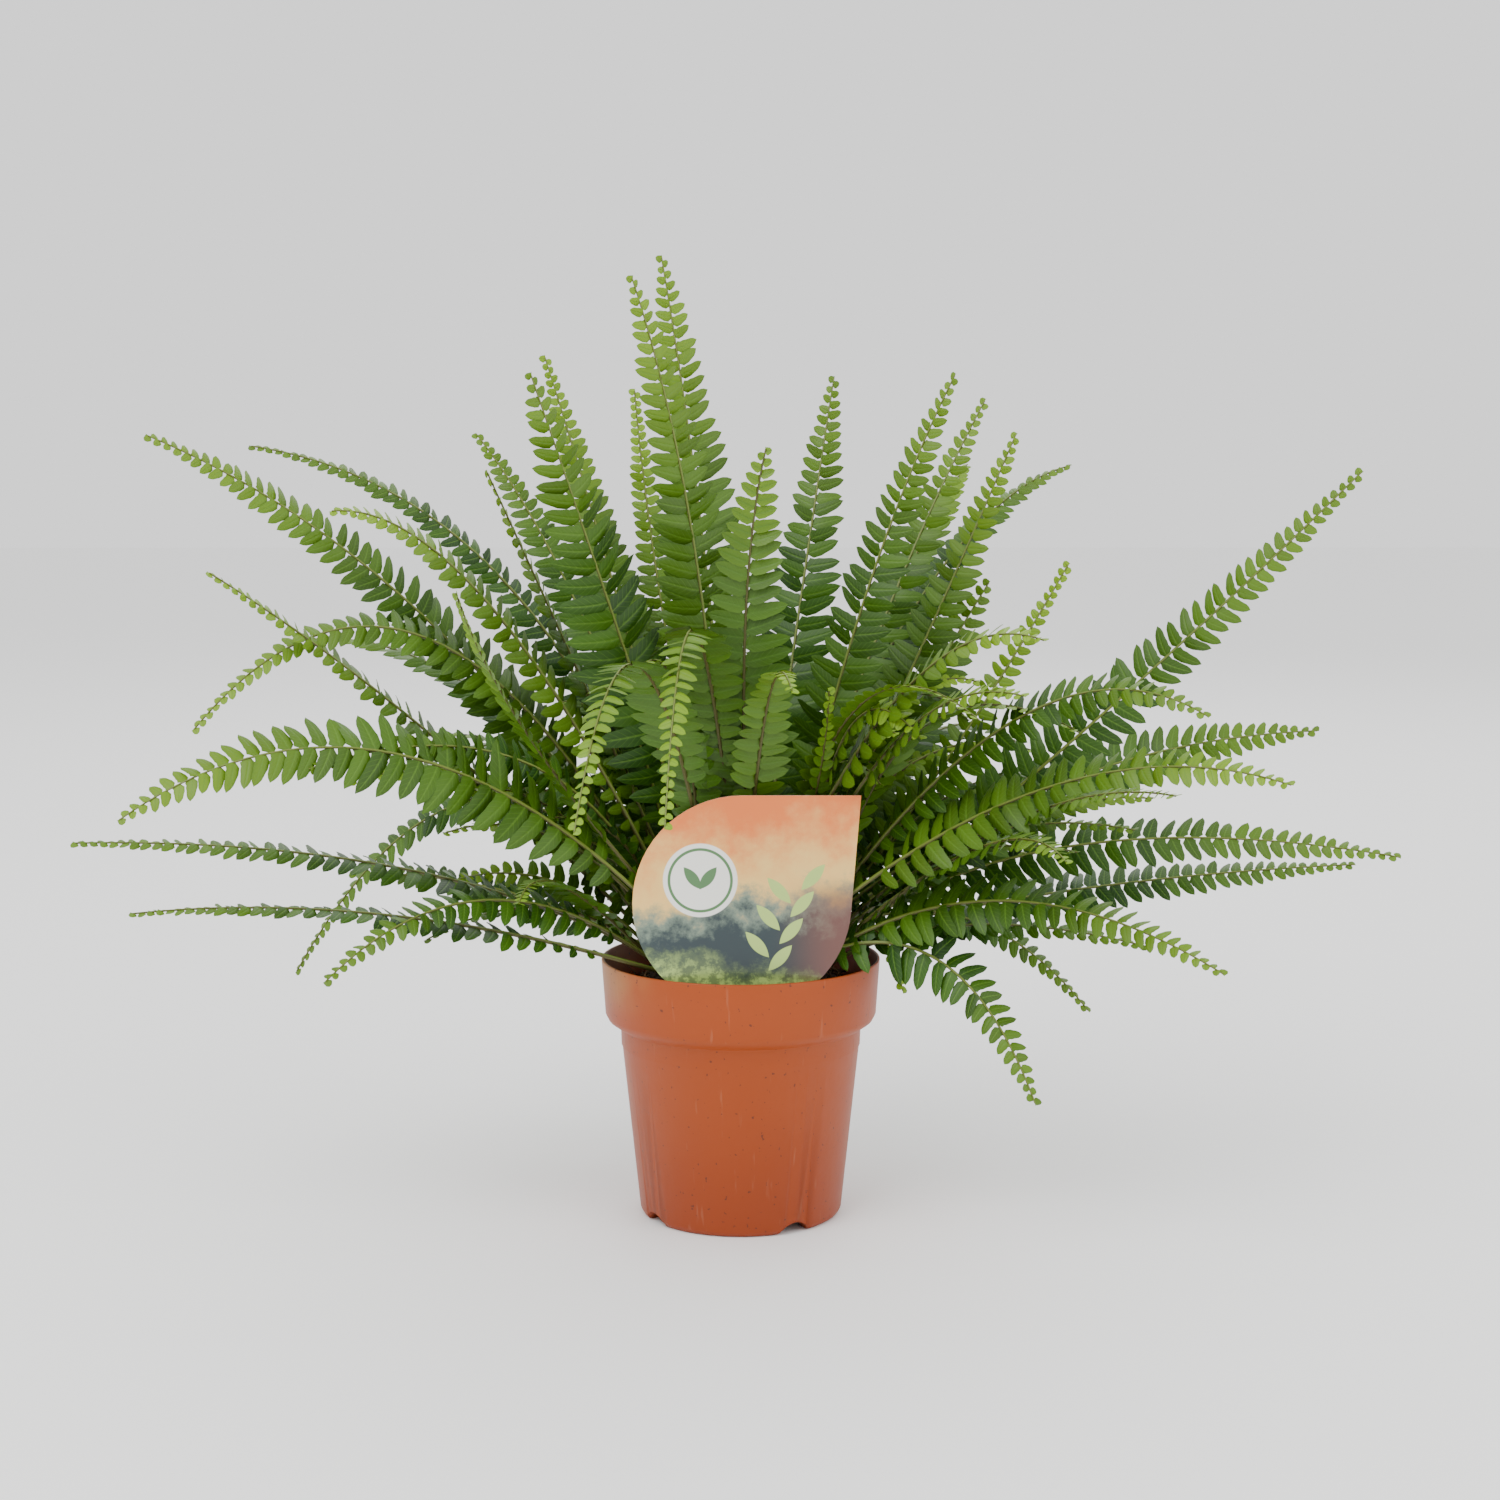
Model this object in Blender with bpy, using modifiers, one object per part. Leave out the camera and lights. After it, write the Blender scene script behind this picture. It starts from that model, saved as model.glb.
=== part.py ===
"""Potted sword fern: pleated fronds on one rootstock, peat, a plastic nursery pot and a plant label.

Metres, +Z up. The origin is under the middle of the pot, on the surface that the pot stands on.
"""
import math

import bmesh
import bpy
import numpy as np
from mathutils import Vector
from mathutils.bvhtree import BVHTree

MODEL_NAME = "potted_fern"
CM = 0.01
GAP = 0.0003                   # left between pieces that touch

# Pot: a 12 cm nursery pot, injection moulded with one wall thickness all over
POT_HEIGHT = 0.112
WALL = 0.0012
RIM_RADIUS = 0.0600            # at the mouth
BAND_RADIUS = 0.0584           # at the lower end of the rim band
BAND_HEIGHT = 0.0238
SHOULDER_HEIGHT = 0.0062       # the band's turn back to the body
BODY_RADIUS = 0.0516           # right under the shoulder
STEP_DROP = 0.0380             # the fine moulding step, below the mouth
STEP_DEPTH = 0.0004
BASE_RADIUS = 0.0434
CORNER = 0.0026                # rounding at the foot
FOOT_RING_WIDTH = 0.0045
BASE_LIFT = 0.0022             # the floor's underside above the foot ring
DRAIN_RADIUS = 0.0055
NOTCH_COUNT = 4
NOTCH_TURN = math.radians(-58)
NOTCH_RADIUS = 0.0085
NOTCH_DROP = 0.0035            # its axis below the base
POT_STEPS = 64

# Peat
SOIL_TOP = 0.1025              # the flat patch under the rootstock
SOIL_EDGE = 0.0966             # the ring outside it
SOIL_FLAT_RADIUS = 0.0415
SOIL_SLOPE = 0.0035

# Rootstock, the low dome that the fronds grow from
CROWN_RADIUS = 0.0395
CROWN_HEIGHT = 0.0095

# Label: a round card with one square corner, on a pointed stake
CARD_RADIUS = 0.0452
CARD_CORNER_REACH = 0.0490     # from the card's middle to the square corner, sideways
CARD_THICKNESS = 0.0008
CARD_X = 0.0005
CARD_Y = -0.0468
CARD_Z = 0.1433
STAKE_WIDTH = 0.0120
STAKE_LENGTH = 0.0360
STAKE_POINT = 0.0120
STAKE_ROOM = 0.0004

# Fronds
BLADE_THICKNESS = 0.0010
STALK_WIDTH = 0.0030
TIP_STALK_WIDTH = 0.0016
STATION_SPACING = 0.026
BARE_STALK = 0.16              # the part of a frond below its first leaflet
FOOT_ROOM = (0.00145, 0.0011, 0.0009, 0.0009)   # a stalk's end above the dome, for each ring
LEAFLET_SWEEP = 0.22           # how far leaflets lean to the tip, in station spacings
LEAFLET_ROOM = 0.0014          # kept free on both sides of a leaflet
RING_RADII = (0.0345, 0.0245, 0.0150, 0.0062)

# One row a frond: tip and shoulder in cm, half the blade's width in cm, how far its upper side is
# turned to the front in degrees, and the ring of the rootstock that it grows from (0 is outermost).
# The shoulder is the point that a stalk sets out for before the frond arches over to its tip.
FRONDS = (
    # left
    ((-24.5, -2.0, 33.5), (-11.5, -1.0, 28.0), 1.9, 50, 1),
    ((-21.5, 5.0, 33.0), (-7.5, 3.0, 31.0), 1.5, 25, 1),
    ((-16.5, -5.0, 30.5), (-10.5, -3.0, 31.0), 1.6, 35, 1),
    ((-21.5, -5.0, 28.0), (-13.0, -3.0, 22.3), 1.5, 30, 0),
    ((-22.5, -4.0, 21.5), (-12.5, -2.5, 33.5), 1.6, 40, 1),
    ((-24.5, -9.0, 18.5), (-13.0, -7.0, 26.5), 2.5, 50, 0),
    ((-28.3, -1.0, 16.3), (-12.0, -3.5, 17.0), 1.7, 15, 0),
    ((-25.0, -5.0, 14.0), (-14.0, -7.0, 15.5), 1.4, 10, 0),
    ((-20.0, 5.0, 9.5), (-11.0, 3.0, 25.0), 1.6, 40, 0),
    ((-16.5, -9.0, 12.0), (-10.5, -4.8, 17.8), 1.5, 35, 0),
    ((-13.0, -4.5, 12.8), (-7.5, -3.0, 15.8), 1.1, 0, 0),
    ((-12.0, -6.0, 17.5), (-7.0, -3.5, 19.0), 1.2, 15, 0),
    ((-11.0, -10.0, 27.5), (-9.5, -5.5, 21.0), 1.4, 10, 1),
    # top
    ((-12.0, 9.0, 33.5), (-6.5, 5.0, 27.0), 1.6, 30, 2),
    ((-10.5, -2.0, 32.0), (-7.0, -1.0, 24.0), 1.6, 20, 2),
    ((-8.5, -4.0, 36.0), (-5.5, -3.5, 27.0), 2.8, 80, 3),
    ((-9.0, 11.0, 37.0), (-5.5, 7.5, 26.5), 1.7, 20, 2),
    ((-4.5, -1.0, 40.0), (-1.0, -1.5, 29.5), 2.2, 70, 3),
    ((-3.5, 7.0, 41.3), (-1.0, 4.0, 27.0), 2.6, 20, 3),
    ((-5.0, 14.0, 35.5), (-4.0, 10.0, 25.0), 1.4, 10, 2),
    ((1.0, -7.0, 33.0), (-0.5, -6.0, 26.5), 2.3, 0, 3),
    ((4.2, 8.0, 36.0), (2.5, 5.5, 25.5), 2.2, 10, 3),
    ((9.0, 0.0, 36.0), (4.5, 0.0, 27.0), 2.0, 50, 2),
    ((11.0, 8.0, 35.0), (6.0, 5.5, 26.0), 1.8, 30, 2),
    ((12.0, 4.0, 33.5), (8.0, 3.5, 24.0), 1.9, 40, 2),
    ((15.5, 13.0, 32.0), (8.5, 10.5, 30.5), 1.7, 10, 2),
    ((11.0, 17.0, 32.0), (7.5, 10.0, 28.5), 2.0, 0, 1),
    # right
    ((11.0, 5.0, 27.0), (7.0, 5.0, 20.5), 2.6, 80, 1),
    ((14.0, 1.0, 28.0), (8.5, 1.5, 18.0), 1.3, 70, 1),
    ((12.0, -8.0, 25.5), (6.5, -5.5, 27.5), 1.8, 30, 1),
    ((11.0, -10.0, 23.5), (6.0, -4.5, 24.5), 1.7, 30, 1),
    ((25.5, -3.0, 32.0), (13.0, -1.0, 19.0), 2.0, 75, 1),
    ((18.5, -8.0, 22.5), (11.5, -5.0, 26.8), 1.7, 45, 1),
    ((25.5, 4.0, 20.5), (12.0, 4.0, 20.0), 2.2, 60, 0),
    ((21.5, -10.0, 20.0), (12.2, -5.9, 22.8), 1.9, 45, 0),
    ((16.5, -13.0, 20.0), (11.5, -4.2, 20.0), 1.3, 20, 0),
    ((28.3, 0.0, 15.5), (11.0, 0.0, 18.5), 2.0, 45, 0),
    ((28.0, 7.0, 14.0), (13.0, 6.0, 13.5), 1.8, 35, 0),
    ((19.0, -10.0, 12.5), (10.0, -4.6, 17.6), 1.9, 40, 0),
    ((17.0, -4.2, 12.4), (8.0, -3.0, 14.6), 1.4, 20, 0),
    ((15.5, 3.5, 8.0), (9.5, 3.5, 15.5), 1.4, 40, 0),
    ((12.0, -7.0, 6.5), (8.5, -4.0, 16.0), 1.8, 60, 0),
    ((6.9, -1.6, 10.0), (6.0, -1.2, 14.8), 0.9, 30, 0),
    # front
    ((-6.0, -18.0, 19.4), (-4.0, -9.0, 33.5), 1.6, 0, 2),
    ((-2.8, -15.5, 19.2), (-2.0, -7.0, 36.0), 1.5, 0, 3),
    ((3.6, -5.0, 23.2), (3.5, -3.5, 18.0), 1.0, 0, 2),
    ((-8.7, -10.0, 15.3), (-8.5, -3.5, 17.0), 1.1, 0, 0),
    ((2.0, -10.0, 23.7), (1.0, -5.0, 27.0), 1.3, 0, 2),
    ((12.5, -12.0, 17.3), (10.9, -5.0, 19.4), 1.5, 20, 0),
    # back
    ((-7.5, 18.5, 24.0), (-6.0, 11.0, 31.0), 2.0, 0, 1),
    ((4.0, 18.0, 20.0), (2.5, 10.5, 29.0), 2.1, 0, 1),
    ((14.0, 16.0, 18.0), (8.5, 9.5, 24.0), 2.0, 0, 0),
    ((-16.0, 15.0, 17.0), (-9.0, 9.0, 23.0), 2.0, 0, 0),
    ((-4.0, 18.0, 12.0), (-2.5, 11.0, 19.0), 1.9, 0, 0),
    ((9.0, 18.0, 10.5), (5.0, 11.0, 18.0), 1.9, 0, 0),
    ((-20.0, 11.0, 24.0), (-11.0, 7.0, 25.0), 1.9, 0, 1),
)

# Finishes: colour (linear), roughness, metallic
FINISHES = {
    "pot": ((0.35, 0.09, 0.03), 0.45, 0.0),
    "soil": ((0.030, 0.017, 0.010), 0.95, 0.0),
    "crown": ((0.10, 0.065, 0.025), 0.85, 0.0),
    "plant_label": ((0.72, 0.60, 0.45), 0.35, 0.0),
    "frond": ((0.055, 0.19, 0.014), 0.50, 0.0),
}


def clear_scene():
    """Remove every object that the file opened with."""
    for item in list(bpy.data.objects):
        bpy.data.objects.remove(item, do_unlink=True)


def make_collection(name):
    """Return a new collection linked into the scene."""
    group = bpy.data.collections.new(name)
    bpy.context.scene.collection.children.link(group)
    return group


def make_finish(name):
    """Return the Principled material of one finish."""
    colour, roughness, metallic = FINISHES[name]
    material = bpy.data.materials.new(name)
    material.use_nodes = True
    shader = material.node_tree.nodes["Principled BSDF"]
    shader.inputs["Base Color"].default_value = (*colour, 1.0)
    shader.inputs["Roughness"].default_value = roughness
    shader.inputs["Metallic"].default_value = metallic
    return material


def add_object(name, data, group, finish=None):
    """Put mesh or curve data into the scene as a named object with its finish."""
    item = bpy.data.objects.new(name, data)
    group.objects.link(item)
    if finish:
        data.materials.append(finish)
    return item


def arc(centre, radius, start, end, count):
    """Points of a circular arc in the profile plane, angles in degrees."""
    turns = np.radians(np.linspace(start, end, count))
    return [(centre[0] + radius * math.cos(a), centre[1] + radius * math.sin(a)) for a in turns]


def turned(name, profile, closed, group, finish):
    """Turn a profile of (radius, height) points at +X round the Z axis."""
    points = [(r, 0.0, z) for r, z in profile]
    edges = [(i, i + 1) for i in range(len(points) - 1)]
    if closed:
        edges.append((len(points) - 1, 0))
    mesh = bpy.data.meshes.new(name)
    mesh.from_pydata(points, edges, [])
    item = add_object(name, mesh, group, finish)
    screw = item.modifiers.new("turn", "SCREW")
    screw.axis = "Z"
    screw.steps = POT_STEPS
    screw.render_steps = POT_STEPS
    screw.use_merge_vertices = True
    screw.merge_threshold = 0.00005
    screw.use_smooth_shade = True
    return item


def wall_outline(inset):
    """The pot wall's outline from mouth to foot, moved inwards by inset."""
    z = POT_HEIGHT
    base_slope = (BODY_RADIUS - BASE_RADIUS) / (POT_HEIGHT - STEP_DROP)
    return [
        (RIM_RADIUS - inset, z - WALL / 2),
        (BAND_RADIUS - inset, z - BAND_HEIGHT),
        (BAND_RADIUS - 0.0012 - inset, z - BAND_HEIGHT - 0.0024),
        (BODY_RADIUS + 0.0024 - inset, z - BAND_HEIGHT - 0.0046),
        (BODY_RADIUS + 0.0003 - inset, z - BAND_HEIGHT - SHOULDER_HEIGHT),
        (BODY_RADIUS - inset, z - STEP_DROP + 0.0005),
        (BODY_RADIUS - STEP_DEPTH - inset, z - STEP_DROP),
        (BASE_RADIUS + base_slope * CORNER - inset, CORNER),
    ]


def make_pot(group, cutters):
    """One moulded wall: rim band, shoulder, tapered body, foot ring, floor and drain openings."""
    outer = wall_outline(0.0)
    corner = arc((BASE_RADIUS - CORNER, CORNER), CORNER, -20, -90, 4)
    ring_inside = BASE_RADIUS - CORNER - FOOT_RING_WIDTH
    floor_top = BASE_LIFT + WALL
    underside = [(ring_inside, 0.0), (ring_inside - 0.0008, BASE_LIFT), (DRAIN_RADIUS, BASE_LIFT)]
    inside_floor = [(DRAIN_RADIUS, floor_top), (BASE_RADIUS - WALL - 0.0022, floor_top)]
    inner = wall_outline(WALL)[::-1]
    inner[0] = (inner[0][0], floor_top + 0.0022)
    lip = arc((RIM_RADIUS - WALL / 2, POT_HEIGHT - WALL / 2), WALL / 2, 135, 45, 3)
    profile = outer + corner + underside + inside_floor + inner + lip
    pot = turned("pot", profile, True, group, make_finish("pot"))
    for k in range(NOTCH_COUNT):
        turn = NOTCH_TURN + k * 2 * math.pi / NOTCH_COUNT
        cutter_mesh = bpy.data.meshes.new(f"notch_cutter_{k + 1}")
        shape = bmesh.new()
        bmesh.ops.create_cone(
            shape, cap_ends=True, segments=28, radius1=NOTCH_RADIUS, radius2=NOTCH_RADIUS, depth=0.016)
        shape.to_mesh(cutter_mesh)
        shape.free()
        cutter = add_object(f"notch_cutter_{k + 1}", cutter_mesh, cutters)
        cutter.rotation_euler = (0.0, math.pi / 2, turn)
        reach = BASE_RADIUS - 0.002
        cutter.location = (reach * math.cos(turn), reach * math.sin(turn), -NOTCH_DROP)
        cutter.hide_render = True
        cutter.display_type = "WIRE"
        cut = pot.modifiers.new(f"notch_{k + 1}", "BOOLEAN")
        cut.operation = "DIFFERENCE"
        cut.solver = "EXACT"
        cut.object = cutter
    return pot


def make_soil(group, cutters):
    """Peat that fills the pot, flat in the middle and lower along the wall, slotted for the stake."""
    inside = [p for p in wall_outline(WALL + GAP) if p[1] < SOIL_EDGE - 0.001]
    wall_top = inside[0]
    mouth = wall_outline(WALL + GAP)[0]
    rise = (SOIL_EDGE - wall_top[1]) / (mouth[1] - wall_top[1])
    edge = (wall_top[0] + (mouth[0] - wall_top[0]) * rise, SOIL_EDGE)
    bottom = BASE_LIFT + WALL + GAP
    inside[-1] = (inside[-1][0], bottom + 0.0022)
    profile = [
        (0.0, SOIL_TOP),
        (SOIL_FLAT_RADIUS, SOIL_TOP),
        (SOIL_FLAT_RADIUS + SOIL_SLOPE, SOIL_EDGE),
        edge,
        *inside,
        (BASE_RADIUS - WALL - 0.0026, bottom),
        (0.0, bottom),
    ]
    soil = turned("soil", profile, False, group, make_finish("soil"))
    size = (STAKE_WIDTH + 2 * STAKE_ROOM, CARD_THICKNESS + 2 * STAKE_ROOM, STAKE_LENGTH)
    low = CARD_Z - CARD_RADIUS - STAKE_LENGTH + STAKE_ROOM
    bpy.ops.mesh.primitive_cube_add(size=1.0, location=(CARD_X, CARD_Y, low + size[2] / 2))
    cutter = bpy.context.object
    cutter.name = "stake_slot_cutter"
    cutter.scale = size
    for holder in list(cutter.users_collection):
        holder.objects.unlink(cutter)
    cutters.objects.link(cutter)
    cutter.hide_render = True
    cutter.display_type = "WIRE"
    cut = soil.modifiers.new("stake_slot", "BOOLEAN")
    cut.operation = "DIFFERENCE"
    cut.solver = "EXACT"
    cut.object = cutter
    return soil


def crown_height(radius):
    """Height of the rootstock's surface above the flat peat at a distance from its middle."""
    return CROWN_HEIGHT * math.sqrt(max(0.0, 1.0 - (radius / CROWN_RADIUS) ** 2))


def make_crown(group):
    """The rootstock: a low dome on the flat of the peat."""
    foot = SOIL_TOP + GAP
    steps = np.linspace(0.0, 0.5 * math.pi, 9)
    dome = [(CROWN_RADIUS * math.sin(a), foot + 0.0004 + CROWN_HEIGHT * math.cos(a)) for a in steps]
    return turned("crown", dome + [(CROWN_RADIUS, foot), (0.0, foot)], False, group, make_finish("crown"))


def label_outline():
    """The card's round outline with its square corner, and the stake, counter-clockwise from the top."""
    side_angle = 2 * math.degrees(math.atan2(CARD_RADIUS, CARD_CORNER_REACH)) - 90
    half = STAKE_WIDTH / 2
    stake_angle = math.degrees(math.asin(half / CARD_RADIUS))
    stake_end = -CARD_RADIUS - STAKE_LENGTH + STAKE_POINT
    left = arc((0.0, 0.0), CARD_RADIUS, 90, 270 - stake_angle, 30)
    stake = [(-half, stake_end), (0.0, stake_end - STAKE_POINT + 2 * STAKE_ROOM), (half, stake_end)]
    right = arc((0.0, 0.0), CARD_RADIUS, -90 + stake_angle, side_angle, 16)
    return left + stake + right + [(CARD_CORNER_REACH, CARD_RADIUS)]


def make_label(group):
    """The card and its stake, cut from one sheet and standing upright just inside the front of the rim."""
    outline = label_outline()
    curve = bpy.data.curves.new("plant_label", "CURVE")
    curve.dimensions = "2D"
    curve.fill_mode = "BOTH"
    curve.extrude = CARD_THICKNESS / 2
    spline = curve.splines.new("POLY")
    spline.points.add(len(outline) - 1)
    for point, (x, y) in zip(spline.points, outline):
        point.co = (x, y, 0.0, 1.0)
    spline.use_cyclic_u = True
    label = add_object("plant_label", curve, group, make_finish("plant_label"))
    label.rotation_euler = (math.pi / 2, 0.0, 0.0)
    label.location = (CARD_X, CARD_Y, CARD_Z)
    return label


def frond_feet():
    """Where each frond leaves the rootstock: even places round its ring, in the order of headings."""
    headings = [math.atan2(row[1][1], row[1][0]) for row in FRONDS]
    feet = [None] * len(FRONDS)
    for ring, radius in enumerate(RING_RADII):
        members = sorted((k for k, row in enumerate(FRONDS) if row[4] == ring), key=lambda k: headings[k])
        places = [2 * math.pi * n / len(members) - math.pi for n in range(len(members))]
        drift = sum(headings[k] - place for k, place in zip(members, places)) / len(members)
        for k, place in zip(members, places):
            height = SOIL_TOP + 2 * GAP + crown_height(radius) + FOOT_ROOM[ring]
            angle = place + drift
            feet[k] = Vector((radius * math.cos(angle), radius * math.sin(angle), height))
    return feet


def frond_spine(foot, shoulder, tip, count):
    """Points and directions of the quadratic curve foot - shoulder - tip."""
    t = np.linspace(0.0, 1.0, count)[:, None]
    a, b, c = np.array(foot), np.array(shoulder), np.array(tip)
    points = (1 - t) ** 2 * a + 2 * t * (1 - t) * b + t ** 2 * c
    along = 2 * (1 - t) * (b - a) + 2 * t * (c - b)
    return points, along / np.linalg.norm(along, axis=1)[:, None]


def blade_sides(foot, tip, along, face):
    """Unit vectors across the blade: level and square to the heading, then rolled to face the front."""
    heading = np.array([tip[0] - foot[0], tip[1] - foot[1], 0.0])
    heading /= np.linalg.norm(heading)
    level = np.array([heading[1], -heading[0], 0.0])
    across = level - (along @ level)[:, None] * along
    across /= np.linalg.norm(across, axis=1)[:, None]
    upward = np.cross(across, along)
    roll = math.radians(face) * (1.0 if heading[0] < 0 else -1.0)
    return across * math.cos(roll) + upward * math.sin(roll)


def blade_width(t):
    """Leaflet length along a frond, as a part of its greatest: quick to rise, even, then tapering."""
    rise = min(1.0, 0.45 + 3.2 * (t - BARE_STALK))
    return rise * (1.0 - max(0.0, t - 0.35) / 0.65) ** 0.62


class FrondPlan:
    """A frond's stations and leaflets before they are made into a mesh."""

    def __init__(self, foot, row):
        tip, shoulder, self.half_width, self.face, _ = row
        tip = Vector(tip) * CM
        shoulder = Vector(shoulder) * CM
        length = ((shoulder - foot).length + (tip - shoulder).length + (tip - foot).length) / 2
        self.count = max(6, round(length / STATION_SPACING)) + 1
        self.points, self.along = frond_spine(foot, shoulder, tip, self.count)
        self.across = blade_sides(foot, tip, self.along, self.face)
        self.normal = np.cross(self.across, self.along)
        half = np.linspace(STALK_WIDTH, TIP_STALK_WIDTH, self.count)[:, None] / 2
        self.left = self.points - self.across * half
        self.right = self.points + self.across * half
        self.leaflets = {}

    def stalk_faces(self):
        """The stalk as two triangles a segment."""
        faces = []
        for i in range(self.count - 1):
            faces.append((self.left[i], self.right[i], self.right[i + 1]))
            faces.append((self.left[i], self.right[i + 1], self.left[i + 1]))
        return faces

    def leaflet(self, segment, side, part):
        """Corners of the leaflet on one side of a segment, at a part of its full length."""
        edge = self.left if side < 0 else self.right
        start, end = edge[segment], edge[segment + 1]
        t = (segment + 0.5) / (self.count - 1)
        reach = self.half_width * CM * blade_width(t) * part
        middle = (start + end) / 2
        sweep = (end - start) * LEAFLET_SWEEP
        droop = self.normal[segment] * reach * 0.12
        return start, end, middle + sweep + side * self.across[segment] * reach - droop


def thick_tree(triangles, thickness):
    """A search tree of triangles, each given a thickness on both sides."""
    points = []
    faces = []
    for corners in triangles:
        a, b, c = (np.array(p) for p in corners)
        normal = np.cross(b - a, c - a)
        normal = normal / np.linalg.norm(normal) * thickness / 2
        centre = (a + b + c) / 3
        grown = [centre + (p - centre) * (1 + thickness / np.linalg.norm(p - centre) / 2) for p in (a, b, c)]
        n = len(points)
        points += [p + normal for p in grown] + [p - normal for p in grown]
        faces += [(n, n + 1, n + 2), (n + 3, n + 5, n + 4)]
        faces += [(n + i, n + 3 + i, n + 3 + (i + 1) % 3, n + (i + 1) % 3) for i in range(3)]
    return BVHTree.FromPolygons([tuple(p) for p in points], faces)


def object_tree(item):
    """A search tree of an object's finished surface."""
    depsgraph = bpy.context.evaluated_depsgraph_get()
    evaluated = item.evaluated_get(depsgraph)
    mesh = evaluated.to_mesh()
    places = [tuple(item.matrix_world @ v.co) for v in mesh.vertices]
    faces = [tuple(p.vertices) for p in mesh.polygons]
    evaluated.to_mesh_clear()
    return BVHTree.FromPolygons(places, faces)


def fit_leaflets(plans, obstacles):
    """Give each frond its leaflets, shortening those that would meet a stalk, a leaflet or the pot."""
    stalks = [thick_tree(plan.stalk_faces(), BLADE_THICKNESS) for plan in plans]
    blades = []
    for k, plan in enumerate(plans):
        others = obstacles + blades + stalks[:k] + stalks[k + 1:]
        kept = []
        first = int(BARE_STALK * (plan.count - 1) + 0.999)
        for segment in range(first, plan.count - 1):
            for side in (-1, 1):
                for part in (1.0, 0.75, 0.5, 0.3):
                    corners = plan.leaflet(segment, side, part)
                    tree = thick_tree([corners], BLADE_THICKNESS + 2 * LEAFLET_ROOM)
                    if not any(tree.overlap(other) for other in others):
                        plan.leaflets[segment, side] = part
                        kept.append(corners)
                        break
        if kept:
            blades.append(thick_tree(kept, BLADE_THICKNESS))


def make_frond(name, plan, group, finish):
    """A frond as one sheet, stalk and leaflets, given its thickness."""
    shape = bmesh.new()
    left = [shape.verts.new(p) for p in plan.left]
    right = [shape.verts.new(p) for p in plan.right]
    for i in range(plan.count - 1):
        shape.faces.new((left[i], right[i], right[i + 1], left[i + 1]))
        for side, edge in ((-1, left), (1, right)):
            part = plan.leaflets.get((i, side))
            if part:
                point = shape.verts.new(plan.leaflet(i, side, part)[2])
                corners = (edge[i], point, edge[i + 1])
                shape.faces.new(corners if side > 0 else corners[::-1])
    bmesh.ops.recalc_face_normals(shape, faces=shape.faces)
    mesh = bpy.data.meshes.new(name)
    shape.to_mesh(mesh)
    shape.free()
    frond = add_object(name, mesh, group, finish)
    skin = frond.modifiers.new("thickness", "SOLIDIFY")
    skin.thickness = BLADE_THICKNESS
    skin.offset = 0.0
    return frond


def main():
    """Build the pot and what it holds."""
    clear_scene()
    group = make_collection(MODEL_NAME)
    cutters = make_collection("cutters")
    solids = [make_pot(group, cutters), make_soil(group, cutters), make_crown(group), make_label(group)]
    bpy.context.view_layer.update()
    obstacles = [object_tree(item) for item in solids]
    plans = [FrondPlan(foot, row) for foot, row in zip(frond_feet(), FRONDS)]
    fit_leaflets(plans, obstacles)
    finish = make_finish("frond")
    for number, plan in enumerate(plans, start=1):
        make_frond(f"frond_{number:02d}", plan, group, finish)


main()
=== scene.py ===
import math

import bpy
import numpy as np
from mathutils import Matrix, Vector


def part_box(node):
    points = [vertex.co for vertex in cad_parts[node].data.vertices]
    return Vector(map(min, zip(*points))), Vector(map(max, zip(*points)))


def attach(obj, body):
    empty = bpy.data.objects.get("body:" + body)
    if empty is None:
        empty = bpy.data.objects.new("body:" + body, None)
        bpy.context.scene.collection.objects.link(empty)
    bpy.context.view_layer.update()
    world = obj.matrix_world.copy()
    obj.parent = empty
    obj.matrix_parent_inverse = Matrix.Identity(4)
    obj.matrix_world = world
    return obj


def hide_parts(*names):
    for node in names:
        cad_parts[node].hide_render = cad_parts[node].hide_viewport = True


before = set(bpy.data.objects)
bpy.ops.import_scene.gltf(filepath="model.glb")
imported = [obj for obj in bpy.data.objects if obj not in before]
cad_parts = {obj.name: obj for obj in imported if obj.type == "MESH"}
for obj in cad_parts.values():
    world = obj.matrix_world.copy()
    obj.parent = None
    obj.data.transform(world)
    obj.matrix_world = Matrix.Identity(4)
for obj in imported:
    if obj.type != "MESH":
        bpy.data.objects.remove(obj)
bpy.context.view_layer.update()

bl_info = {
    "name": "Potted Sword Fern",
    "version": (1, 0, 0),
    "blender": (4, 5, 0),
    "location": "View3D > Sidebar > Fern",
    "description": "Builds a sword fern in a nursery pot, with its peat and label, and a plain studio",
    "category": "Add Mesh",
}

CM = 0.01

# The rootstock and the rings that fronds grow from, in the CAD model's own sizes
SOIL_TOP = 0.1025
CROWN_RADIUS = 0.0395
CROWN_HEIGHT = 0.0095
RING_RADII = (0.0345, 0.0245, 0.0150, 0.0062)
BARE_STALK = 0.16              # the part of a frond, from its foot, that has no leaflets

# The peat: level in the middle, a slope down to a shelf along the pot's wall, and a cone below it
PEAT_LEVEL_RADIUS = 0.0415
PEAT_SLOPE_WIDTH = 0.0035
PEAT_SHELF_HEIGHT = 0.0968
PEAT_RADIUS = 0.0566
PEAT_CONE_RADIUS = 0.0492
PEAT_CONE_HEIGHT = 0.080
PEAT_FOOT_RADIUS = 0.0395
THREAD_COUNT = 420

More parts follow.
